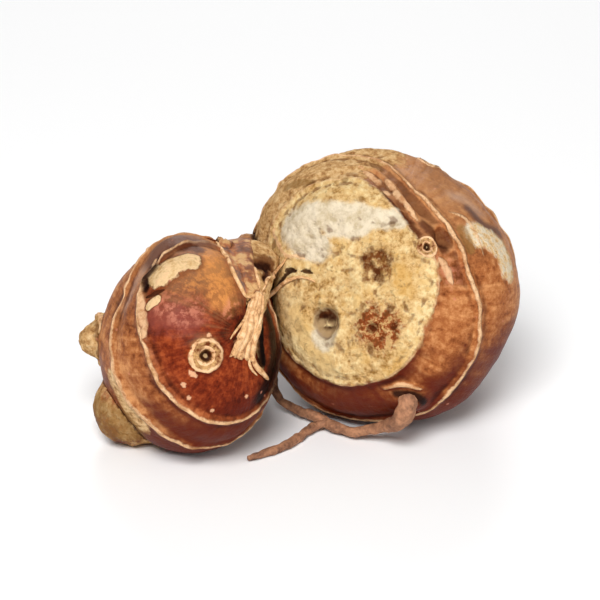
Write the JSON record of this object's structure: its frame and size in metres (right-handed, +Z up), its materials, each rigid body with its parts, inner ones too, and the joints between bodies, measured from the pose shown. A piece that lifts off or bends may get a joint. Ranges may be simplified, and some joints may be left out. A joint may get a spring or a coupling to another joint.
{
  "type": "aromatic ginger root",
  "caption": "Small knobbly ginger rhizome with a corky shoot scar, ringed red-brown skin, a curled side finger, buds and dry rootlets",
  "frame": {"origin": "on the surface that the rhizome lies on, under the middle of its box", "axes": "+X to the right of the main lobe, seen from the shoot scar's side, +Z up, -Y the side that the shoot scar faces"},
  "size_m": [0.0416, 0.0344, 0.0244],
  "materials": {
    "skin": "waxy red-brown skin with pale corky scars and leaf rings"
  },
  "bodies": {
    "root": {"rhizome": "skin"}
  },
  "joints": []
}
